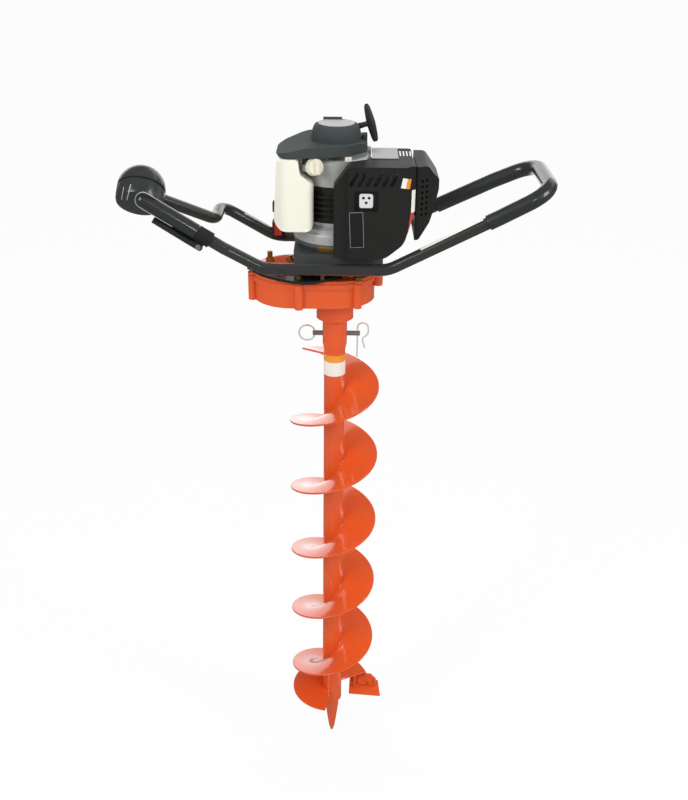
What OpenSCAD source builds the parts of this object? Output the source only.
// One-man earth auger: a small vertical-shaft engine on a two-stage gear case,
// carried by a looped tube handle, with a screw auger pinned below it.
// Millimetres. Z runs up the auger's axis, X to the right, -Y to the front.
// The origin is the tip of the pilot point.

/* [Auger] */
// Outside diameter of the flighting
flight_d = 178; // [150:1:230]
// Rise of the flighting in one turn
flight_pitch = 154; // [120:1:180]
// Thickness of the flighting plate
flight_t = 4; // [3:0.5:6]
// Turns of the flighting
flight_turns = 5.34; // [3:0.01:7]
// Direction of the flighting's lower end, from +X
flight_low_angle = 28; // [15:1:45]
// Height of the flighting's lower end above the tube's lower end
flight_low_rise = 36; // [30:1:60]
// Bare tube between the flighting and the drive socket
flight_top_gap = 14; // [8:1:60]
// Outside diameter of the auger tube
auger_tube_d = 42.2; // [38:0.1:50]
// Wall of the auger tube
auger_tube_wall = 4; // [3:0.5:6]
// Length of the pilot point below the tube
pilot_len = 100; // [70:1:130]
// Side of the square pilot point at the tube
pilot_w = 21.5; // [18:0.5:25]
// Diameter of the hole that the cutter blade makes
hole_d = 224; // [200:1:260]
// Thickness of the cutter blade
blade_t = 6; // [4:0.5:8]

/* [Coupling] */
// Outside diameter of the drive socket
socket_d = 48; // [46:0.1:60]
// Length of the drive socket with its taper
socket_len = 64; // [56:1:90]
// Length of the socket's taper
socket_taper = 14; // [8:1:20]
// Diameter of the output shaft
output_d = 35; // [30:0.5:38]
// Diameter of the coupling pin
pin_d = 9.5; // [8:0.5:12]
// Depth of the coupling pin below the socket's upper end
pin_drop = 31; // [22:1:36]
// Length of the coupling pin outside the socket on each side
pin_out = 19; // [16:1:30]
// Middle diameter of the pull ring
pull_ring_d = 31; // [26:1:36]
// Wire of the pull ring and the hairpin clip
ring_wire = 3; // [2.5:0.1:3.5]

/* [Gear case] */
// Distance from the auger's axis to the countershaft, set by the tooth counts
gear_module = 2.5; // [2.4:0.05:2.6]
// Teeth of the input pinion
input_teeth = 11; // [11:1:12]
// Teeth of the counter pinion
counter_pinion_teeth = 13; // [13:1:14]
// Teeth of each gear pair together
pair_teeth = 64; // [62:2:66]
// Room between the gears and the case wall
gear_room = 2.5; // [2:0.5:6]
// Wall of the gear case
case_wall = 5; // [4:0.5:8]
// Height of the gear case without its hub
case_h = 48; // [46:1:60]
// Thickness of the gear case floor
case_floor = 9; // [9:0.5:12]
// Length of the hub below the gear case
hub_len = 44; // [40:1:60]
// Wall of the hub round its bearings
hub_wall = 5; // [4.5:0.5:9]
// Gap between the drive socket and the hub
hub_gap = 4; // [3:0.5:10]
// Thickness of the case gasket
gasket_t = 1; // [0.8:0.1:1.5]
// Thickness of the case cover
cover_t = 12; // [12:0.5:16]
// Diameter of the case studs
stud_d = 8; // [6:0.5:10]
// Diameter of the torque arm hole in the case ear
ear_hole_d = 9; // [8:0.5:12]

/* [Handle] */
// Outside diameter of the handle tube
tube_d = 22.2; // [20:0.1:25.4]
// Wall of the handle tube
tube_wall = 2; // [1.5:0.1:3]
// Outside diameter of the rubber grips
grip_d = 28.4; // [26:0.1:34]
// Height of the handle tubes above the case cover
tube_rise = 23; // [20:1:40]
// Depth from the auger's axis to the front tube
front_tube_y = 96; // [92:1:120]
// Depth from the auger's axis to the rear tube
rear_tube_y = 100; // [96:1:125]
// Reach of the handle to the right of the auger's axis
right_reach = 380; // [340:1:420]
// Reach of the control housing to the left of the auger's axis
left_reach = 346; // [320:1:380]
// Thickness of the mounting plates under the tubes
mount_plate_t = 5; // [4:0.5:8]
// Radius of the ball-shaped control housing
ball_r = 43; // [38:0.5:48]

/* [Engine] */
// Height of the clutch housing
clutch_housing_h = 45; // [45:1:60]
// Inside diameter of the clutch drum
clutch_d = 75; // [70:1:80]
// Diameter of the crankcase's lower half
crankcase_d = 156; // [150:1:160]
// Height of the crankcase's lower half
crankcase_low_h = 34; // [34:1:40]
// Diameter of the crankcase's upper half
crankcase_up_d = 124; // [120:1:128]
// Height of the crankcase's upper half
crankcase_up_h = 132; // [130:1:140]
// Wall of the plastic covers
cover_wall = 3; // [2:0.25:4]
// Wall of the fuel tank
tank_wall = 3; // [2:0.25:4]
// Height of the fan cover
fan_cover_h = 22; // [22:1:28]
// Diameter of the recoil housing at its foot
recoil_d = 89; // [80:1:92]
// Diameter of the recoil housing at its top
recoil_top_d = 74; // [68:1:78]
// Height of the recoil housing
recoil_h = 28; // [28:1:36]
// Length of the starter's T-handle
t_handle_len = 70; // [60:1:80]

/* [Hidden] */
$fn = 48;
// Radial clearance of pieces fixed to each other, of running fits, and round moving levers
fit = 0.05;
run = 0.08;
room = 0.4;

// Heights, each built on the one below it
z_low = pilot_len;
z_flight = z_low + flight_low_rise;
flight_len = flight_turns * flight_pitch;
z_socket = z_flight + flight_len + flight_top_gap;
z_socket_top = z_socket + socket_len;
z_pin = z_socket_top - pin_drop;
z_hub = z_socket_top + hub_gap;
z_case = z_hub + hub_len;
z_case_top = z_case + case_h;
z_cover = z_case_top + gasket_t;
z_plate = z_cover + 5;
z_deck = z_cover + cover_t;
z_tube = z_deck + tube_rise;
z_engine = z_deck + clutch_housing_h;
z_mid = z_engine + crankcase_low_h;
z_top = z_mid + crankcase_up_h;
z_fan = z_top + 4;
z_recoil = z_fan + fan_cover_h;
z_end = z_recoil + recoil_h;

// Gears: a coaxial double reduction with stub teeth at 25 degrees
pressure = 25;
addendum = 0.8 * gear_module;
dedendum = 1.05 * gear_module;
backlash = 0.3;
output_teeth = pair_teeth - counter_pinion_teeth;
counter_teeth = pair_teeth - input_teeth;
counter_x = -gear_module * pair_teeth / 2;
gear_out_r = gear_module * max(output_teeth, counter_teeth) / 2 + addendum;
lobe_in_r = gear_out_r + gear_room;
lobe_r = lobe_in_r + case_wall;
z_gear_low = z_case + case_floor + 3;
z_gear_mid = z_case + case_h - 18;

// Shafts and bearings: [outside radius, height]
output_r = output_d / 2;
input_r = 8.5;
counter_r = 7.5;
crank_r = 10;
output_bearing = [31, 14];
counter_bearing = [14, 7];
input_bearing = [20, 10];
crank_bearing = [23.5, 12];
seal_r = 24;
seal_h = 7;

// Case bosses, as directions from the two lobes, and the ear
boss_r = 8;
boss_reach = lobe_r + 4;
function on_lobe(x, a) = [x + boss_reach * cos(a), boss_reach * sin(a)];
front_bosses = [on_lobe(counter_x, 199), on_lobe(counter_x, 280)];
rear_bosses = [on_lobe(counter_x, 80), on_lobe(0, 58)];
bare_bosses = [on_lobe(0, -58)];
bosses = concat(front_bosses, rear_bosses, bare_bosses);
ear_at = [(lobe_r + 7.5) * cos(-14), (lobe_r + 7.5) * sin(-14)];
raised_r = lobe_r - 18;

// Handle path: corners of the tube's middle line, and the bend radius at each
tube_r = tube_d / 2;
grip_r = grip_d / 2;
arm_slope = 31.9;
arm_at = [-200, -front_tube_y, z_tube + 38.5];
arm_len = (left_reach - 9 + arm_at.x) / cos(arm_slope);
grip_from = 54;
tube_mid = [right_reach, 2, z_tube + 100 + (right_reach - 290) * 0.54];
front_path = [arm_at + (arm_len - 4) * [-cos(arm_slope), 0, sin(arm_slope)], arm_at,
              [-128, -front_tube_y, z_tube], [95, -front_tube_y, z_tube],
              [290, -front_tube_y, z_tube + 100], [right_reach, -front_tube_y, tube_mid.z], tube_mid];
front_bends = [0, 120, 60, 60, 150, 45, 0];
ball_at = [-left_reach, -62, z_tube + 38.5 + (left_reach - 200) * 0.655];
rear_path = [tube_mid, [right_reach, rear_tube_y, tube_mid.z], [300, rear_tube_y, z_tube + 115],
             [58, rear_tube_y, z_tube], [-118, rear_tube_y, z_tube],
             [-224, rear_tube_y, z_tube + 61], [-224, 17, z_tube + 57],
             ball_at + [15, 5, -12]];
rear_bends = [0, 45, 150, 60, 60, 30, 30, 0];

// Covers of the engine
cover_top = z_top + 2;
cover_low = z_engine + 3;
engine_clear = crankcase_up_d / 2 + 12;
cap_axis = [0.5, -0.84, 0.2] / norm([0.5, -0.84, 0.2]);
neck_at = [-48, -55, z_top - 12];
choke_at = [22, -44, z_top];
pull_tilt = 16;
z_visor = z_fan + 4;
pull_at = [34, 15, z_recoil + 18];

// Outline helpers

// Turn of a vector's direction into an angle
function heading(v) = atan2(v.y, v.x);

// The short way round from one angle to another
function sweep(a, b) = let (d = (b - a) % 360) d > 180 ? d - 360 : d < -180 ? d + 360 : d;

// One corner [x, y, radius] of a closed outline, as an arc of six steps
function corner(a, p, b) =
    let (c = [p.x, p.y], u = ([a.x, a.y] - c) / norm([a.x, a.y] - c),
         v = ([b.x, b.y] - c) / norm([b.x, b.y] - c), h = acos(u * v) / 2)
    p.z == 0 ? [c] :
    let (m = c + (u + v) / norm(u + v) * p.z / sin(h), s = c + u * p.z / tan(h),
         e = c + v * p.z / tan(h), a0 = heading(s - m), turn = sweep(a0, heading(e - m)))
    [for (i = [0:6]) m + p.z * [cos(a0 + turn * i / 6), sin(a0 + turn * i / 6)]];

// A closed outline with rounded corners
function rounded(pts) =
    [for (i = [0:len(pts) - 1])
        each corner(pts[(i + len(pts) - 1) % len(pts)], pts[i], pts[(i + 1) % len(pts)])];

// The outline round both gear lobes
function lobes(r) = concat([for (i = [0:20]) r * [cos(-90 + 9 * i), sin(-90 + 9 * i)]],
                           [for (i = [0:20]) [counter_x, 0] + r * [cos(90 + 9 * i), sin(90 + 9 * i)]]);

// A spur gear's outline with a tooth centred on direction a
function involute(x) = tan(x) * 180 / PI - x;
function gear_outline(teeth, a) =
    let (rp = gear_module * teeth / 2, rb = rp * cos(pressure), rf = rp - dedendum, ra = rp + addendum,
         half = 90 / teeth - backlash / rp * 45 / PI + involute(pressure),
         low = max(rf + 0.2, rb),
         flank = [[rf, half - involute(acos(min(1, rb / low)))],
                  for (r = [low, (low + rp) / 2, rp, ra]) [r, half - involute(acos(min(1, rb / r)))]])
    [for (t = [0:teeth - 1])
        each concat([for (i = [0:4]) let (w = a + 360 * t / teeth - flank[i][1])
                        flank[i][0] * [cos(w), sin(w)]],
                    [for (i = [4:-1:0]) let (w = a + 360 * t / teeth + flank[i][1])
                        flank[i][0] * [cos(w), sin(w)]])];

// A cylinder between two points
module rod(a, b, r) {
    d = b - a;
    translate(a) rotate([0, acos(d.z / norm(d)), atan2(d.y, d.x)]) cylinder(h = norm(d), r = r);
}

// A round bar along corners with bends, hollow where r_in is more than zero.
// Its middle line is a list of [place, direction] with an arc at each corner.
function unit(v) = v / norm(v);
function bend(path, r, i) =
    let (u = unit(path[i] - path[i - 1]), v = unit(path[i + 1] - path[i]), turn = acos(u * v),
         w = unit(v - u * cos(turn)), c = path[i] - u * r * tan(turn / 2) + w * r, n = max(2, ceil(turn / 11)))
    [for (k = [0:n]) let (f = turn * k / n) [c + r * (u * sin(f) - w * cos(f)), u * cos(f) + w * sin(f)]];
function middle_line(path, bends) =
    let (e = len(path) - 1)
    concat([[path[0], unit(path[1] - path[0])]],
           [for (i = [1:e - 1]) each bend(path, bends[i], i)],
           [[path[e], unit(path[e] - path[e - 1])]]);

// Each section's side direction, carried along without twist
function sides_of(line, i, n) = i == len(line) ? [] :
    let (t = line[i][1], m = unit(n - t * (n * t))) concat([m], sides_of(line, i + 1, m));

function tube_points(line, side, r, facets) =
    [for (i = [0:len(line) - 1]) let (b = cross(line[i][1], side[i])) for (k = [0:facets - 1])
        line[i][0] + r * (side[i] * cos(360 * k / facets) + b * sin(360 * k / facets))];
function tube_skin(rows, s, o) =
    [for (i = [0:rows - 2]) for (k = [0:s - 1]) let (p = o + i * s + k, q = o + i * s + (k + 1) % s)
        each [[p, p + s, q], [q, p + s, q + s]]];
function flipped(faces) = [for (f = faces) [f[2], f[1], f[0]]];
function end_ring(o, n, s) = [for (k = [0:s - 1]) let (q = (k + 1) % s)
    each [[o + k, o + q, n + q], [o + k, n + q, n + k]]];

tube_facets = 16;
module bent_bar(path, bends, r_out, r_in = 0, s = tube_facets) {
    line = middle_line(path, bends);
    rows = len(line);
    side = sides_of(line, 0, [0.1, 0.9, 0.3]);
    skin = tube_skin(rows, s, 0);
    last = (rows - 1) * s;
    if (r_in > 0) {
        n = rows * s;
        polyhedron(points = concat(tube_points(line, side, r_out, s), tube_points(line, side, r_in, s)),
            faces = concat(skin, flipped(tube_skin(rows, s, n)), end_ring(0, n, s),
                           flipped(end_ring(last, n + last, s))));
    } else
        polyhedron(points = tube_points(line, side, r_out, s),
            faces = concat(skin, [[for (k = [0:s - 1]) k]], [[for (k = [s - 1:-1:0]) last + k]]));
}

// The radius of a faceted bore that stays clear of a round bar
function clear_bore(r) = (r + fit) / cos(180 / tube_facets);

module ring(r_out, r_in) {
    difference() {
        circle(r = r_out);
        circle(r = r_in);
    }
}

// A flat-sided block with a rounded outline, seen from above
module slab(pts, z0, z1) {
    translate([0, 0, z0]) linear_extrude(z1 - z0) polygon(rounded(pts));
}

// The same, seen from the front: the outline lies in X and Z
module front_slab(pts, y0, y1) {
    translate([0, y1, 0]) rotate([90, 0, 0]) linear_extrude(y1 - y0) polygon(rounded(pts));
}

// A ring bearing
module bearing(size, bore) {
    difference() {
        cylinder(h = size[1], r = size[0] - fit);
        translate([0, 0, -1]) cylinder(h = size[1] + 2, r = bore + run);
    }
}

// A hexagon nut on a stud
module stud(at, z_foot, z_nut, r) {
    translate([at.x, at.y, z_foot]) cylinder(h = z_nut + 12 - z_foot, r = r - fit);
    translate([at.x, at.y, z_nut]) cylinder(h = 7, r = r * 1.85, $fn = 6);
}

// Places in the left arm's own direction: x outwards, z up from the tube
module on_arm() {
    translate(arm_at) rotate([0, arm_slope, 0]) rotate([0, 0, 180]) children();
}

// Auger and cutting head

module auger_tube() {
    color([0.85, 0.36, 0.14]) difference() {
        translate([0, 0, z_low]) cylinder(h = z_socket - z_low, d = auger_tube_d);
        translate([0, 0, z_low + 10])
            cylinder(h = z_socket - z_low, d = auger_tube_d - 2 * auger_tube_wall);
    }
}

// The main helix, swept as a ribbon that narrows at its upper end
flight_steps = 40;
module flighting() {
    n = ceil(flight_turns * flight_steps);
    r_in = (auger_tube_d / 2 + 2 * fit) / cos(180 / flight_steps);
    r_out = flight_d / 2;
    pts = [for (i = [0:n])
        let (a = flight_low_angle + 360 * flight_turns * i / n, z = z_flight + flight_len * i / n,
             r = r_out * min(1, 0.77 + 0.23 * (n - i) / 5))
        each [[r_in * cos(a), r_in * sin(a), z - flight_t], [r * cos(a), r * sin(a), z - flight_t],
              [r * cos(a), r * sin(a), z], [r_in * cos(a), r_in * sin(a), z]]];
    sides = [for (i = [0:n - 1]) for (k = [0:3])
        let (p = 4 * i + k, q = 4 * i + (k + 1) % 4)
        each [[p, p + 4, q], [q, p + 4, q + 4]]];
    color([0.9, 0.38, 0.15])
        polyhedron(points = pts, faces = concat(sides, [[0, 1, 2], [0, 2, 3]],
                   [[4 * n + 2, 4 * n + 1, 4 * n], [4 * n + 3, 4 * n + 2, 4 * n]]));
}

module bottom_flight() {
    color([0.9, 0.38, 0.15]) translate([0, 0, z_low + 32]) rotate([0, 0, 95])
        rotate_extrude(angle = 166) translate([auger_tube_d / 2 + fit, 0])
        square([flight_d / 2 - auger_tube_d / 2 - 1, flight_t]);
}

// Places on the cutter: x outwards, -y forwards and down from the line where the bracket starts
cutter_tilt = 24;
cutter_turn = -3;
flight_r = flight_d / 2;
cutter_y = 0.585 * flight_r;
z_cutter = z_flight - flight_t - 9;
rib_t = 5;
module on_cutter() {
    rotate([0, 0, cutter_turn]) translate([0, cutter_y, z_cutter]) rotate([cutter_tilt, 0, 0]) children();
}
bolt_places = [[0.70 * flight_r, -21], [0.97 * flight_r, -21]];

// Height of the flighting's underside above a place seen from above, near its lower end
function underside(x, y) =
    z_flight - flight_t + flight_pitch * (atan2(y, x) + cutter_turn - flight_low_angle) / 360;

// A rib from the bracket up to the flighting's underside, between two depths
module rib(x, y0, y1) {
    e = x + rib_t / 2;
    rotate([0, 0, cutter_turn]) translate([x - rib_t / 2, 0, 0]) rotate([90, 0, 90]) linear_extrude(rib_t)
        polygon([[y0 - 12, z_cutter - 8], [y0 - 3, underside(e, y0) - 4], [y0, underside(e, y0) - 0.1],
                 [y1, underside(e, y1) - 0.1], [y1, z_cutter + 2]]);
}

module cutter_bracket() {
    color([0.85, 0.36, 0.14]) difference() {
        union() {
            on_cutter() slab([[0.44 * flight_r, 0, 3], [0.44 * flight_r, -27, 5], [1.12 * flight_r, -27, 4],
                              [1.12 * flight_r, -12, 6], [0.98 * flight_r, 0, 3]], 0, 6);
            rib(0.57 * flight_r, 0.37 * flight_r, cutter_y - 4);
            rib(0.84 * flight_r, 0.51 * flight_r, cutter_y - 4);
            on_cutter() translate([1.09 * flight_r - rib_t / 2, 0, 0]) rotate([90, 0, 90]) linear_extrude(rib_t)
                polygon([[-26, 5], [-21, 13], [-14, 13], [-13, 5]]);
        }
        on_cutter() for (p = bolt_places) translate([p.x, p.y, -1]) cylinder(h = 8, r = 4);
    }
}

module cutter_blade() {
    x0 = 0.43 * flight_r;
    x1 = hole_d / 2;
    color([0.85, 0.36, 0.14]) on_cutter() difference() {
        intersection() {
            slab([[x0, -13, 2], [x0, -49, 2], [x1 - 1, -52, 2], [x1 - 8, -13, 2]], -blade_t, 0);
            rotate([90, 0, 90]) linear_extrude(hole_d)
                polygon([[-53, -1], [-53, 0], [0, 0], [0, -blade_t], [-38, -blade_t]]);
        }
        for (p = bolt_places) translate([p.x, p.y, -blade_t - 1]) cylinder(h = blade_t + 2, r = 4);
    }
}

module blade_bolts() {
    color([0.8, 0.34, 0.14]) on_cutter() for (p = bolt_places) {
        translate([p.x, p.y, -blade_t - 4]) cylinder(h = blade_t + 17, r = 4 - fit);
        translate([p.x, p.y, 6]) cylinder(h = 6, r = 7, $fn = 6);
        translate([p.x, p.y, -blade_t - 4]) cylinder(h = 4, r = 7);
    }
}

// A square bar on its corner, drawn down to a blunt tip
module pilot_point() {
    h = pilot_w / 2;
    side = [[-h, z_low], [-h, z_low * 0.8], [-h * 0.66, z_low * 0.37], [-h * 0.44, z_low * 0.14], [-h * 0.18, 0],
            [h * 0.18, 0], [h * 0.44, z_low * 0.14], [h * 0.66, z_low * 0.37], [h, z_low * 0.8], [h, z_low]];
    color([0.85, 0.36, 0.14]) rotate([0, 0, 42]) intersection() {
        translate([0, h, 0]) rotate([90, 0, 0]) linear_extrude(pilot_w) polygon(side);
        translate([-h, 0, 0]) rotate([90, 0, 90]) linear_extrude(pilot_w) polygon(side);
    }
}

// Drive socket and its pin

module pin_hole() {
    translate([-socket_d, 0, z_pin]) rotate([0, 90, 0]) cylinder(h = 2 * socket_d, r = pin_d / 2 + run);
}

module drive_socket() {
    r = output_r + fit;
    color([0.85, 0.36, 0.14]) difference() {
        rotate_extrude() polygon([[0, z_socket], [auger_tube_d / 2, z_socket],
            [socket_d / 2, z_socket + socket_taper], [socket_d / 2, z_socket_top - 1.5],
            [socket_d / 2 - 1.5, z_socket_top], [r, z_socket_top], [r, z_socket + socket_taper],
            [0, z_socket + socket_taper]]);
        pin_hole();
    }
}

module output_shaft() {
    color([0.7, 0.7, 0.7]) difference() {
        translate([0, 0, z_socket + socket_taper + 1])
            cylinder(h = z_gear_low + 16 - z_socket - socket_taper - 1, r = output_r);
        pin_hole();
    }
}

ring_x = -socket_d / 2 - pin_out + 4.5;
clip_x = socket_d / 2 + pin_out + 1;
module coupling_pin() {
    color([0.75, 0.75, 0.75]) difference() {
        translate([ring_x - 4.5, 0, z_pin]) rotate([0, 90, 0]) cylinder(h = clip_x - ring_x + 9.5, d = pin_d);
        translate([clip_x, 0, z_pin - pin_d]) cylinder(h = 2 * pin_d, r = ring_wire / 2 + run);
        translate([ring_x, 0, z_pin - pin_d]) cylinder(h = 2 * pin_d, r = ring_wire / 2 + 0.9);
    }
}

module pull_ring() {
    color([0.75, 0.75, 0.75]) translate([ring_x - pull_ring_d / 2, 0, z_pin]) rotate([90, 0, 0])
        rotate_extrude() translate([pull_ring_d / 2, 0]) circle(d = ring_wire);
}

module hairpin_clip() {
    w = 21;
    color([0.8, 0.8, 0.8]) bent_bar([[clip_x, 0, z_pin - 50], [clip_x, 0, z_pin + 21.5],
        [clip_x + w, 0, z_pin + 21.5], [clip_x + w, 0, z_pin - 1], [clip_x + 9, 0, z_pin - 12],
        [clip_x + 15, 0, z_pin - 32]], [0, 10.4, 10.4, 6, 6, 0], ring_wire / 2, s = 10);
}

// Gear case

module gear_case() {
    color([0.92, 0.4, 0.16]) difference() {
        union() {
            translate([0, 0, z_case]) linear_extrude(case_h) polygon(lobes(lobe_r));
            translate([0, 0, z_case_top - 9]) linear_extrude(9) polygon(lobes(lobe_r + 4));
            for (b = bosses) translate([b.x, b.y, z_case])
                cylinder(h = case_h, r = boss_r);
            translate([ear_at.x, ear_at.y, z_case_top - 19]) cylinder(h = 19, r = ear_hole_d / 2 + 4.5);
            translate([0, 0, z_hub]) cylinder(h = hub_len + 1, r = output_bearing[0] + hub_wall);
        }
        translate([0, 0, z_case + case_floor]) linear_extrude(case_h) polygon(lobes(lobe_in_r));
        translate([0, 0, z_hub + seal_h]) cylinder(h = hub_len + case_floor, r = output_bearing[0]);
        translate([0, 0, z_hub - 1]) cylinder(h = seal_h + 2, r = seal_r);
        translate([counter_x, 0, z_case + case_floor - counter_bearing[1]])
            cylinder(h = case_floor, r = counter_bearing[0]);
        for (b = bosses) translate([b.x, b.y, z_case + 12])
            cylinder(h = case_h, r = stud_d / 2);
        translate([ear_at.x, ear_at.y, z_case]) cylinder(h = case_h + 1, r = ear_hole_d / 2);
    }
}

module gear_case_cover() {
    color([0.92, 0.4, 0.16]) difference() {
        union() {
            translate([0, 0, z_cover]) linear_extrude(5) polygon(lobes(lobe_r + 2));
            for (b = bosses) translate([b.x, b.y, z_cover])
                cylinder(h = 5, r = boss_r);
            translate([0, 0, z_cover]) linear_extrude(cover_t - 2) polygon(lobes(raised_r));
            translate([0, 0, z_cover]) linear_extrude(cover_t) polygon(lobes(raised_r - 2));
        }
        translate([0, 0, z_cover - 1]) cylinder(h = input_bearing[1] + 1, r = input_bearing[0]);
        translate([0, 0, z_cover]) cylinder(h = cover_t + 1, r = input_r + 2);
        translate([counter_x, 0, z_cover - 1]) cylinder(h = counter_bearing[1] + 1, r = counter_bearing[0]);
        for (b = bosses) translate([b.x, b.y, z_cover - 1])
            cylinder(h = 7, r = stud_d / 2);
    }
}

module case_gasket() {
    color([0.8, 0.34, 0.14]) translate([0, 0, z_case_top]) linear_extrude(gasket_t) difference() {
        polygon(lobes(lobe_r + 2));
        polygon(lobes(lobe_in_r));
        for (b = bosses) translate(b) circle(r = stud_d / 2 + fit);
    }
}

// Studs with nuts round the case, and the two plugs on its cover
module case_fasteners() {
    color([0.78, 0.62, 0.3]) {
        for (b = concat(front_bosses, rear_bosses)) stud(b, z_case + 13, z_plate + mount_plate_t, stud_d / 2);
        for (b = bare_bosses) stud(b, z_case + 13, z_plate, stud_d / 2);
        for (p = [[counter_x - 44, 20], [counter_x - 6, 13]]) translate([p.x, 12, z_deck]) {
            cylinder(h = 8, r = 8, $fn = 6);
            cylinder(h = p.y, r = 5);
        }
    }
}

module bearings() {
    color([0.7, 0.7, 0.72]) {
        translate([0, 0, z_hub + seal_h]) bearing(output_bearing, output_r);
        translate([0, 0, z_case + case_floor - output_bearing[1]]) bearing(output_bearing, output_r);
        translate([counter_x, 0, z_case + case_floor - counter_bearing[1]]) bearing(counter_bearing, counter_r);
        translate([counter_x, 0, z_cover]) bearing(counter_bearing, counter_r);
        translate([0, 0, z_cover]) bearing(input_bearing, input_r);
        translate([0, 0, z_engine + 4]) bearing(crank_bearing, crank_r);
        translate([0, 0, z_top - crank_bearing[1]]) bearing(crank_bearing, crank_r);
    }
}

module output_seal() {
    color([0.1, 0.1, 0.1]) translate([0, 0, z_hub]) bearing([seal_r, seal_h], output_r);
}

module output_gear() {
    color([0.6, 0.6, 0.62]) translate([0, 0, z_gear_low]) linear_extrude(16) difference() {
        polygon(gear_outline(output_teeth, 180 + 180 / output_teeth));
        circle(r = output_r + fit);
    }
}

module counter_shaft() {
    color([0.65, 0.65, 0.66]) translate([counter_x, 0, 0]) {
        translate([0, 0, z_case + 2.5]) cylinder(h = z_cover + counter_bearing[1] - z_case - 3, r = counter_r);
        translate([0, 0, z_gear_low - 1]) linear_extrude(18) polygon(gear_outline(counter_pinion_teeth, 0));
    }
}

module counter_gear() {
    color([0.6, 0.6, 0.62]) translate([counter_x, 0, z_gear_mid]) linear_extrude(12) difference() {
        polygon(gear_outline(counter_teeth, 180 / counter_teeth));
        circle(r = counter_r + fit);
    }
}

module input_pinion() {
    color([0.65, 0.65, 0.66]) {
        translate([0, 0, z_gear_mid - 1]) linear_extrude(14) polygon(gear_outline(input_teeth, 180));
        translate([0, 0, z_gear_mid]) cylinder(h = z_deck + 12 - z_gear_mid, r = input_r);
    }
}

// Handle

// The black plates on the case cover, seen from above, that carry the tubes
front_outline = [[-174, -2, 8], [-138, -50, 30], [-104, -78, 20], [-66, 1 - front_tube_y, 22],
                 [-40, 4 - front_tube_y, 16], [-14, -78, 12], [32, -42, 10], [32, 0, 2]];
rear_outline = [[-80, 46, 4], [-80, 84, 8], [-58, rear_tube_y, 10], [46, rear_tube_y - 6, 14], [56, 78, 8], [50, 56, 8],
                [20, 40, 4]];

module mount_plate(outline, holes) {
    difference() {
        slab(outline, z_plate, z_plate + mount_plate_t);
        translate([0, 0, z_plate - 1]) linear_extrude(mount_plate_t + 2) polygon(lobes(raised_r + 0.5));
        for (b = holes) translate([b.x, b.y, z_plate - 1]) cylinder(h = mount_plate_t + 2, r = stud_d / 2);
    }
}

// A gusset from a plate up to the tube that lies y in front of the axis
module gusset(x, y) {
    translate([x, 0, 0]) rotate([90, 0, 90]) linear_extrude(7)
        polygon([[-68, z_plate], [-80, z_plate], [-y - 1, z_tube - tube_r + 1], [-y + 9, z_tube - tube_r + 2]]);
}

module front_tube() {
    color([0.09, 0.09, 0.1]) {
        bent_bar(front_path, front_bends, tube_r, tube_r - tube_wall);
        mount_plate(front_outline, front_bosses);
        for (x = [-98, -26]) gusset(x, front_tube_y);
    }
}

module rear_tube() {
    color([0.09, 0.09, 0.1]) {
        bent_bar(rear_path, rear_bends, tube_r, tube_r - tube_wall);
        mount_plate(rear_outline, rear_bosses);
        for (x = [-44, 20]) mirror([0, 1, 0]) gusset(x, rear_tube_y);
    }
}

// A place on a straight run between two corners, at a share of its length
function between(a, b, t) = a + (b - a) * t;

module right_grip() {
    color([0.06, 0.06, 0.06])
        bent_bar([between(front_path[3], front_path[4], 0.9), front_path[4], front_path[5], rear_path[1],
                  rear_path[2], between(rear_path[2], rear_path[3], 0.44)],
                 [0, 150, 45, 45, 150, 0], grip_r, clear_bore(tube_r));
}

module left_grip() {
    color([0.06, 0.06, 0.06]) on_arm() difference() {
        union() {
            translate([grip_from, 0, 0]) rotate([0, 90, 0]) cylinder(h = arm_len - grip_from, r = grip_r);
            translate([arm_len, 0, 0]) sphere(r = grip_r);
        }
        translate([40, 0, 0]) rotate([0, 90, 0]) cylinder(h = arm_len - 44 + fit, r = tube_r + fit);
    }
}

lever_pivot = [39, -18.5];
lever_end = arm_len - 31;
lever_w = 9.4;
lever_wall = 2.6;
module lever_clamp() {
    color([0.1, 0.1, 0.1]) on_arm() difference() {
        union() {
            translate([25, 0, 0]) rotate([0, 90, 0]) cylinder(h = grip_from - 26, r = grip_r);
            translate([lever_pivot.x - 7, -lever_w + room, lever_pivot.y - 5])
                cube([14, 2 * (lever_w - room), -lever_pivot.y - 1]);
        }
        rotate([0, 90, 0]) cylinder(h = 60, r = tube_r + fit);
        translate([lever_pivot.x, 20, lever_pivot.y]) rotate([90, 0, 0]) cylinder(h = 40, r = 3);
    }
}

// The lever's pivot bolt with its nut
module clamp_bolts() {
    y = lever_w + lever_wall + room;
    color([0.65, 0.65, 0.65]) on_arm() translate([lever_pivot.x, 0, lever_pivot.y]) rotate([90, 0, 0]) {
        translate([0, 0, -y - 2]) cylinder(h = 2 * y + 4, r = 3 - fit);
        translate([0, 0, y]) cylinder(h = 4, r = 5.5);
        translate([0, 0, -y - 4]) cylinder(h = 4, r = 5.5, $fn = 6);
    }
}

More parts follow.
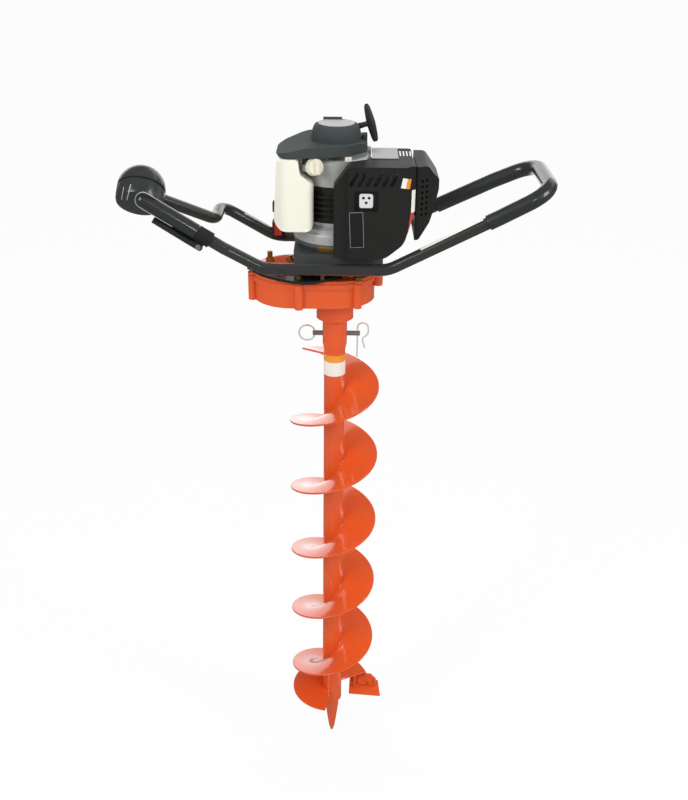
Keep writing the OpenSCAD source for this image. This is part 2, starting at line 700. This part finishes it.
// A shallow channel that closes on the grip's underside when it is squeezed
module throttle_lever() {
    p = lever_pivot;
    y = lever_w + lever_wall;
    color([0.08, 0.08, 0.08]) on_arm() difference() {
        translate([0, y, 0]) rotate([90, 0, 0]) linear_extrude(2 * y) polygon(rounded(
            [[p.x - 8, p.y - 6, 5], [p.x - 8, p.y + 5, 4], [p.x + 8, p.y + 4, 3], [p.x + 22, p.y + 2, 6],
             [lever_end - 6, p.y, 3], [lever_end, p.y - 2, 1], [lever_end, p.y - 5, 1], [p.x + 20, p.y - 6, 8]]));
        translate([p.x, -lever_w, p.y - 2.5]) cube([arm_len, 2 * lever_w, 40]);
        translate([0, -lever_w, p.y - 12]) cube([p.x + 10, 2 * lever_w, 40]);
        translate([p.x, 20, p.y]) rotate([90, 0, 0]) cylinder(h = 40, r = 3 - fit + run);
    }
}

// The ball-shaped control housing, split along the arm
module ball_part(low, high) {
    difference() {
        intersection() {
            translate(ball_at) sphere(r = ball_r);
            translate(ball_at) rotate([0, arm_slope, 0]) translate([-60, -60, low]) cube([120, 120, high - low]);
        }
        on_arm() {
            translate([grip_from, 0, 0]) rotate([0, 90, 0]) cylinder(h = arm_len - grip_from, r = grip_r + fit);
            translate([arm_len, 0, 0]) sphere(r = grip_r + fit);
        }
        rod(rear_path[6], rear_path[7], tube_r + fit);
    }
}

// The lower half ends in a flat foot, which hangs below the ball behind the grip
module control_housing_lower() {
    color([0.08, 0.08, 0.08]) {
        ball_part(-35, 14);
        difference() {
            translate(ball_at) front_slab([[-40, -2, 4], [-38, -36, 9], [30, -52, 9], [34, -30, 4], [0, -10, 4]],
                                          -20, 26);
            on_arm() {
                translate([grip_from, 0, 0]) rotate([0, 90, 0]) cylinder(h = arm_len - grip_from, r = grip_r + fit);
                translate([arm_len, 0, 0]) sphere(r = grip_r + fit);
            }
            rod(rear_path[6], rear_path[7], tube_r + fit);
        }
    }
}

module control_housing_upper() {
    color([0.08, 0.08, 0.08]) ball_part(14, 60);
}

// The stop switch, on the front of the rear tube
switch_x = -112;
switch_at = [switch_x, rear_tube_y - 12, z_tube + 20];
module switch_base() {
    color([0.1, 0.1, 0.1]) difference() {
        slab([[switch_x - 12, rear_tube_y - 16, 2], [switch_x - 12, rear_tube_y + 8, 3],
            [switch_x + 12, rear_tube_y + 8, 3], [switch_x + 12, rear_tube_y - 16, 2]], z_tube - 2, z_tube + 32);
        bent_bar(rear_path, rear_bends, clear_bore(tube_r));
        translate(switch_at - [7.6, 15, 6]) cube([15.2, 20, 12]);
        translate(switch_at - [20, 0, 0]) rotate([0, 90, 0]) cylinder(h = 40, r = 2 + run);
    }
}

// A tab on a round hub with two pivot stubs
module switch_rocker() {
    color([0.75, 0.1, 0.08]) translate(switch_at) {
        translate([-7, 0, 0]) rotate([90, 0, 90]) linear_extrude(14) polygon(rounded(
            [[2, -3, 0], [2, 3, 0], [-9, 3, 0], [-9, 12, 1.5], [-13, 12, 1.5], [-13, -12, 1.5], [-9, -12, 1.5],
             [-9, -3, 0]]));
        translate([-7, 0, 0]) rotate([0, 90, 0]) cylinder(h = 14, r = 4.2);
        translate([-10, 0, 0]) rotate([0, 90, 0]) cylinder(h = 20, r = 2);
    }
}

// Clutch and crankcase

module clutch_housing() {
    r = clutch_d / 2 + 8;
    color([0.09, 0.09, 0.1]) difference() {
        union() {
            translate([0, 0, z_deck]) cylinder(h = 12, r = raised_r - 4);
            slab([[-76, -78, 24], [-76, 76, 24], [88, 76, 24], [88, -78, 24]], z_deck + 11, z_engine);
        }
        translate([0, 0, z_deck + 5]) cylinder(h = clutch_housing_h, r = r);
        translate([0, 0, z_deck - 1]) cylinder(h = 10, r = input_r + 2);
    }
}

module clutch_drum() {
    r = clutch_d / 2;
    z = z_deck + 7;
    color([0.55, 0.55, 0.57]) rotate_extrude() polygon([[input_r + fit, z], [r + 3, z], [r + 3, z + 26],
        [r, z + 26], [r, z + 3], [input_r + fit, z + 3]]);
}

// Two shoes on a hub, and the springs that hold them in
module clutch_shoes() {
    r = clutch_d / 2 - 0.8;
    z = z_deck + 16;
    color([0.4, 0.38, 0.36]) {
        for (s = [0, 180]) rotate([0, 0, s + 8]) translate([0, 0, z])
            rotate_extrude(angle = 164) translate([16.5, 0]) square([r - 16.5, 14]);
        translate([0, 0, z]) linear_extrude(14) ring(16.4, crank_r - 1 + fit);
    }
}

module crankcase_lower() {
    r = crankcase_d / 2;
    color([0.72, 0.72, 0.72]) difference() {
        rotate_extrude() polygon([[0, z_engine], [r - 8, z_engine], [r, z_engine + 10], [r, z_mid - 5],
            [r - 1, z_mid], [0, z_mid]]);
        translate([0, 0, z_engine + 4 + crank_bearing[1]]) cylinder(h = crankcase_low_h, r = crankcase_up_d / 2 - 10);
        translate([0, 0, z_engine + 4]) cylinder(h = crankcase_low_h, r = crank_bearing[0]);
        translate([0, 0, z_engine - 1]) cylinder(h = crankcase_low_h, r = crank_r + 1);
    }
}

module crankcase_upper() {
    r = crankcase_up_d / 2;
    fins = [for (i = [0:4]) let (z = z_mid + 26 + 10 * i) each [[r, z], [r + 6, z], [r + 6, z + 3.5], [r, z + 3.5]]];
    color([0.72, 0.72, 0.72]) difference() {
        union() {
            rotate_extrude() polygon(concat([[0, z_mid], [r + 10, z_mid], [r + 10, z_mid + 8], [r, z_mid + 14]], fins,
                [[r, z_top - 4], [r - 4, z_top], [0, z_top]]));
            translate([neck_at.x, neck_at.y, neck_at.z - 6]) cylinder(h = 12, r = 13);
            rod(neck_at, neck_at + 17 * cap_axis, 11);
            slab([[-100, -9, 6], [-100, 9, 6], [-50, 9, 0], [-50, -9, 0]], z_mid, z_mid + 4);
            translate(choke_at - [0, 0, 1]) cylinder(h = 6, r = 2.5);
            for (a = [20, 140, 235]) rotate([0, 0, a]) translate([r, 0, z_top - 14])
                cylinder(h = z_visor - z_top + 14, r = 5);
        }
        translate([0, 0, z_mid - 1]) cylinder(h = 61, r = r - 10);
        translate([0, 0, z_top - crank_bearing[1]]) cylinder(h = 20, r = crank_bearing[0]);
        translate([0, 0, z_mid]) cylinder(h = crankcase_up_h, r = crank_r + 1);
    }
}

// Crankshaft with two round webs and the crank pin between them
module crankshaft() {
    z = z_mid + 12;
    color([0.62, 0.62, 0.64]) {
        translate([0, 0, z_deck + 14]) cylinder(h = z_engine - z_deck - 14, r = crank_r - 1);
        translate([0, 0, z_engine]) cylinder(h = z + 10 - z_engine, r = crank_r);
        translate([0, 0, z]) cylinder(h = 10, r = 40);
        translate([22, 0, z + 9]) cylinder(h = 18, r = 9);
        translate([0, 0, z + 26]) cylinder(h = 10, r = 40);
        translate([0, 0, z + 35]) cylinder(h = z_recoil + 1 - z - 35, r = crank_r);
    }
}

module flywheel() {
    color([0.6, 0.6, 0.6]) translate([0, 0, z_fan + 5]) difference() {
        union() {
            cylinder(h = 6, r = 50);
            cylinder(h = 13, r = 18);
            for (a = [0:30:330]) rotate([0, 0, a + 10]) translate([26, -1.5, 5]) cube([23, 3, 8]);
        }
        translate([0, 0, -1]) cylinder(h = 20, r = crank_r + fit);
    }
}

module cylinder_block() {
    z0 = z_mid + 28;
    x0 = crankcase_up_d / 2;
    color([0.3, 0.3, 0.31]) difference() {
        slab([[x0 - 30, -34, 0], [x0 - 30, 34, 0], [138, 34, 6], [138, -34, 6]], z0, z0 + 66);
        translate([0, 0, z0 - 1]) cylinder(h = 68, r = x0 + 6 + 2 * fit);
        for (i = [0:5]) {
            translate([x0 + 8, -40, z0 + 6 + 9.4 * i]) cube([56, 18, 5]);
            translate([x0 + 8, 22, z0 + 6 + 9.4 * i]) cube([56, 18, 5]);
        }
    }
}

module spark_plug() {
    z = z_mid + 61;
    color([0.12, 0.12, 0.12]) translate([138, 0, z]) rotate([0, 90, 0]) {
        cylinder(h = 14, r = 7);
        translate([0, 0, 13]) cylinder(h = 20, r = 10);
        translate([-14, 0, 24]) rotate([0, 90, 0]) cylinder(h = 14, r = 4);
    }
}

// Exhaust side

module muffler() {
    color([0.35, 0.33, 0.32]) difference() {
        union() {
            slab([[20, -98, 10], [20, -50, 4], [118, -50, 8], [118, -98, 16]], z_mid + 14, cover_top - 20);
            translate([100, -34, z_mid + 61]) rotate([90, 0, 0]) cylinder(h = 20, r = 15);
        }
        translate([0, 0, z_mid]) cylinder(h = 140, r = engine_clear);
    }
}

// Plan and front outlines of the muffler cover, drawn in by w
function cover_plan(w) = [[-3 + w, -66, 0], [-3 + w, -104 + w, 5], [20, -105 + w, 2], [22, -110 + w, 3],
                          [122 - w / 2, -110 + w, 16], [141 - w, -90 + w / 2, 14], [141 - w, -40, 0]];
function cover_front(w) = [[-10, cover_low + w, 4], [88, cover_low + w, 30], [122 - w, cover_low + 28 + w / 2, 36],
                           [141 - w, cover_low + 84, 50], [141 - w, cover_top - w, 8], [24, cover_top - w, 6],
                           [-10, cover_top - 46 - w, 6]];

module cover_body(w) {
    intersection() {
        slab(cover_plan(w), cover_low - 1, cover_top + 1);
        front_slab(cover_front(w), -120, -30);
    }
}

// A rounded block whose face lies across the front of the muffler cover at the exhaust
outlet_at = [54, z_mid + 74];
module at_outlet(w, h, y0, y1) {
    front_slab([[outlet_at.x - w, outlet_at.y - h, 4], [outlet_at.x + w, outlet_at.y - h, 4],
                [outlet_at.x + w, outlet_at.y + h, 4], [outlet_at.x - w, outlet_at.y + h, 4]], y0, y1);
}

module muffler_cover() {
    color([0.05, 0.05, 0.06]) difference() {
        union() {
            difference() {
                cover_body(0);
                cover_body(cover_wall);
                translate([cover_wall - 8, -60, cover_low + cover_wall + 5])
                    cube([146 - cover_wall, 40, cover_top - cover_low - 2 * cover_wall - 10]);
            }
            at_outlet(24, 21, -109, -100);
            for (x = [34, 108]) translate([x, -98, cover_low + 58]) rotate([90, 0, 0]) cylinder(h = 10, r = 4);
            slab([[62, -50, 0], [62, 34, 8], [136, 34, 8], [136, -50, 0]], cover_top - cover_wall, cover_top);
        }
        translate([0, 0, cover_low - 5]) cylinder(h = 200, r = engine_clear);
        translate([0, 0, cover_low - 5]) cylinder(h = z_mid - cover_low + 5 + room, r = crankcase_d / 2 + room);
        at_outlet(21, 18, -115, -103);
        at_outlet(9, 9, -104, -99);
        for (i = [0:5]) translate([36 + 14 * i, -115, cover_top - 8]) rotate([0, 28, 0]) translate([0, 0, -27])
            cube([6, 12, 27]);
        for (i = [0:3]) translate([114 + 6 * i, -24, cover_top - 5]) cube([3, 50, 10]);
    }
}

module exhaust_outlet() {
    color([0.62, 0.62, 0.62]) difference() {
        at_outlet(12, 12.5, -106, -103);
        for (p = [[-5, 5], [5, 5], [0, -3.5]]) translate([outlet_at.x + p.x, -107, outlet_at.y + p.y])
            rotate([-90, 0, 0]) cylinder(h = 5, r = 2.6);
    }
}

function side_plan(w) = [[141.2 + w, -86 + w, 2], [150, -86 + w, 10], [174 - w / 2, -66, 16], [186 - w, -34, 18],
                         [186 - w, 40 - w, 12], [141.2 + w, 40 - w, 2]];
function side_front(w) = [[138, z_mid - 2 + w, 0], [148, z_mid - 2 + w, 8], [168 - w / 2, z_mid + 26, 16],
                          [186 - w, z_mid + 78, 24], [186 - w, z_top - 36, 14], [162, z_top - 2 - w, 12],
                          [138, z_top - 2 - w, 0]];

module side_body(w) {
    intersection() {
        slab(side_plan(w), z_mid - 5, z_top + 12);
        front_slab(side_front(w), -90, 45);
    }
}

module side_cover() {
    color([0.06, 0.06, 0.07]) difference() {
        side_body(0);
        side_body(cover_wall);
        translate([136, -34 - room, z_mid + 26]) cube([10, 68 + 2 * room, 70]);
        for (i = [0:6], k = [0:1]) translate([156 + 12 * k, -90, z_mid + 44 + 10 * i]) rotate([-90, 0, 28])
            cylinder(h = 34, r = 2.6);
    }
}

// Intake side

module carburettor() {
    z = z_mid + 61;
    color([0.6, 0.6, 0.6]) {
        slab([[82, 34, 0], [82, 58, 3], [114, 58, 3], [114, 34, 0]], z - 20, z + 18);
        translate([98, 57, z]) rotate([-90, 0, 0]) cylinder(h = 5, r = 15);
        translate([98, 48, z - 34]) cylinder(h = 15, r = 13);
    }
}

module air_filter() {
    z = z_mid + 61;
    color([0.3, 0.3, 0.3]) slab([[67, 62, 4], [67, 92, 4], [129, 92, 4], [129, 62, 4]], z - 33, z + 33);
}

module air_cleaner_cover() {
    z = z_mid + 61;
    color([0.06, 0.06, 0.06]) difference() {
        slab([[62, 62, 4], [62, 106, 14], [134, 106, 14], [134, 62, 4]], z - 40, z + 40);
        slab([[67 - fit, 50, 2], [67 - fit, 102, 8], [129 + fit, 102, 8], [129 + fit, 50, 2]],
             z - 33 - fit, z + 33 + fit);
    }
}

// Fuel and oil

function tank_plan(w) = [[-112 + w, -58, 26], [-92, -86 + w, 18], [-39 - w, -86 + w, 12], [-39 - w, 50 - w, 12],
                         [-112 + w, 50 - w, 24]];
function tank_front(w) = [[-112 + w, z_mid + 10 + w, 18], [-39 - w, z_mid + 10 + w, 14], [-39 - w, z_top - 37, 12],
                          [-63 - w, z_top - 19, 12], [-66 - w, z_visor - 1.5 - w, 8],
                          [-104 + w, z_visor - 1.5 - w, 10]];

module tank_body(w) {
    difference() {
        intersection() {
            slab(tank_plan(w), z_mid, z_visor + 2);
            front_slab(tank_front(w), -100, 60);
        }
        translate([0, 0, z_mid - 1]) cylinder(h = 150, r = engine_clear + w);
    }
}

fuel_cap_at = [-86, 50, z_mid + 70];
module fuel_tank() {
    color([0.86, 0.82, 0.7]) {
        difference() {
            tank_body(0);
            tank_body(tank_wall);
        }
        translate(fuel_cap_at) rotate([-90, 0, 0]) cylinder(h = 6, r = 14);
        translate([-90, 0, z_mid + 4]) cylinder(h = 8, r = 7);
    }
}

module fuel_cap() {
    color([0.06, 0.06, 0.06]) translate(fuel_cap_at + [0, 6.3, 0]) rotate([-90, 0, 0]) {
        cylinder(h = 12, r = 19);
        for (a = [0:30:330]) rotate([0, 0, a]) translate([18, -2, 0]) cube([2.5, 4, 11]);
        translate([-15, -3, 11]) cube([30, 6, 5]);
    }
}

module oil_filler_cap() {
    a = acos(cap_axis.z);
    b = atan2(cap_axis.y, cap_axis.x);
    color([0.8, 0.74, 0.6]) translate(neck_at + 17.3 * cap_axis) rotate([0, a, b]) {
        cylinder(h = 4, r = 15.5);
        cylinder(h = 12, r = 14);
        translate([-13, -3, 11]) cube([26, 6, 6]);
    }
}

module choke_lever() {
    color([0.85, 0.82, 0.72]) translate(choke_at + [0, 0, 0.3]) difference() {
        union() {
            linear_extrude(3.5) polygon(rounded([[-5, 5, 4], [5, 5, 4], [4, -15, 2], [-4, -15, 2]]));
            translate([-6, -21, 0]) cube([12, 8, 7]);
        }
        translate([0, 0, -1]) cylinder(h = 10, r = 2.5 + run);
    }
}

// Fan cover and recoil starter

fan_plan = [[-106, -40, 14], [-96, -82, 20], [-40, -76, 60], [20, -62, 50], [56, -24, 30], [56, 46, 26],
            [20, 72, 40], [-60, 72, 30], [-106, 20, 24]];

module fan_cover() {
    color([0.06, 0.06, 0.07]) difference() {
        union() {
            intersection() {
                slab(fan_plan, z_visor, z_recoil);
                front_slab([[-107, z_visor, 0], [-107, z_visor + 2, 1.5], [-92, z_visor + 9, 10], [-50, z_recoil, 20],
                            [44, z_recoil, 8], [57, z_recoil - 5, 4], [57, z_visor, 0]], -90, 90);
            }
            slab([[46, 4, 3], [46, 28, 3], [56, 28, 3], [56, 4, 3]], z_recoil - 7, z_recoil + 6);
        }
        translate([0, 0, z_fan]) cylinder(h = fan_cover_h - 3, r = 53);
        translate([0, 0, z_fan]) cylinder(h = fan_cover_h + 1, r = recoil_d / 2 - 5);
    }
}

module recoil_housing() {
    r = recoil_d / 2;
    q = recoil_top_d / 2;
    color([0.07, 0.07, 0.08]) difference() {
        union() {
            rotate_extrude() polygon([[0, z_recoil + 4], [6, z_recoil + 4], [6, z_end - 4], [q - 3, z_end - 4],
                [r - 3, z_recoil], [r, z_recoil], [q, z_end - 2], [q - 2, z_end], [0, z_end]]);
            translate([-24, 24, z_end - 1]) cube([34, 5, 6]);
        }
        translate(pull_at) rotate([0, -pull_tilt, 0]) rotate([0, 90, 0]) translate([0, 0, -8])
            cylinder(h = 30, r = 6 + room);
    }
}

module starter_badge() {
    color([0.75, 0.68, 0.66]) translate([0, 0, z_end]) difference() {
        cylinder(h = 1.2, r = recoil_top_d / 2 - 4);
        translate([-40, 23, -1]) cube([80, 30, 4]);
    }
}

// A flat strip wound in a spiral round the housing's post
module recoil_spring() {
    r0 = 8.5;
    step = 2.7;
    turns = 6;
    inner = [for (i = [0:turns * 20]) (r0 + step * i / 20) * [cos(18 * i), sin(18 * i)]];
    outer = [for (i = [turns * 20:-1:0]) (r0 + 0.8 + step * i / 20) * [cos(18 * i), sin(18 * i)]];
    color([0.5, 0.5, 0.52]) translate([0, 0, z_end - 10]) linear_extrude(6) polygon(concat(inner, outer));
}

rope_r = 25;
module starter_pulley() {
    z = z_recoil + 5;
    color([0.2, 0.2, 0.2]) rotate_extrude() polygon([[6 + run, z], [30, z], [30, z + 2], [rope_r, z + 2],
        [rope_r, z + 7], [30, z + 7], [30, z + 9], [6 + run, z + 9]]);
}

module starter_rope() {
    color([0.85, 0.85, 0.8]) rotate_extrude() translate([rope_r + 2.3, z_recoil + 9.5]) circle(r = 2.2);
}

module starter_handle() {
    color([0.05, 0.05, 0.05]) translate(pull_at) rotate([0, -pull_tilt, 0]) {
        rotate([0, 90, 0]) cylinder(h = 25, r = 6);
        translate([29, 0, -t_handle_len / 2 + 8]) cylinder(h = t_handle_len - 16, r = 8);
        for (s = [-1, 1]) translate([29, 0, s * (t_handle_len / 2 - 8)]) sphere(r = 8);
    }
}

gear_case();
gear_case_cover();
case_gasket();
case_fasteners();
bearings();
output_seal();
front_tube();
rear_tube();
right_grip();
left_grip();
lever_clamp();
control_housing_lower();
control_housing_upper();
clamp_bolts();
switch_base();
clutch_housing();
crankcase_lower();
crankcase_upper();
cylinder_block();
spark_plug();
muffler();
muffler_cover();
exhaust_outlet();
side_cover();
carburettor();
air_filter();
air_cleaner_cover();
fuel_tank();
fan_cover();
recoil_housing();
starter_badge();
recoil_spring();
auger_tube();
drive_socket();
flighting();
bottom_flight();
cutter_bracket();
cutter_blade();
blade_bolts();
pilot_point();
output_shaft();
output_gear();
coupling_pin();
pull_ring();
hairpin_clip();
counter_shaft();
counter_gear();
clutch_drum();
input_pinion();
crankshaft();
flywheel();
clutch_shoes();
starter_pulley();
starter_rope();
starter_handle();
throttle_lever();
switch_rocker();
choke_lever();
oil_filler_cap();
fuel_cap();
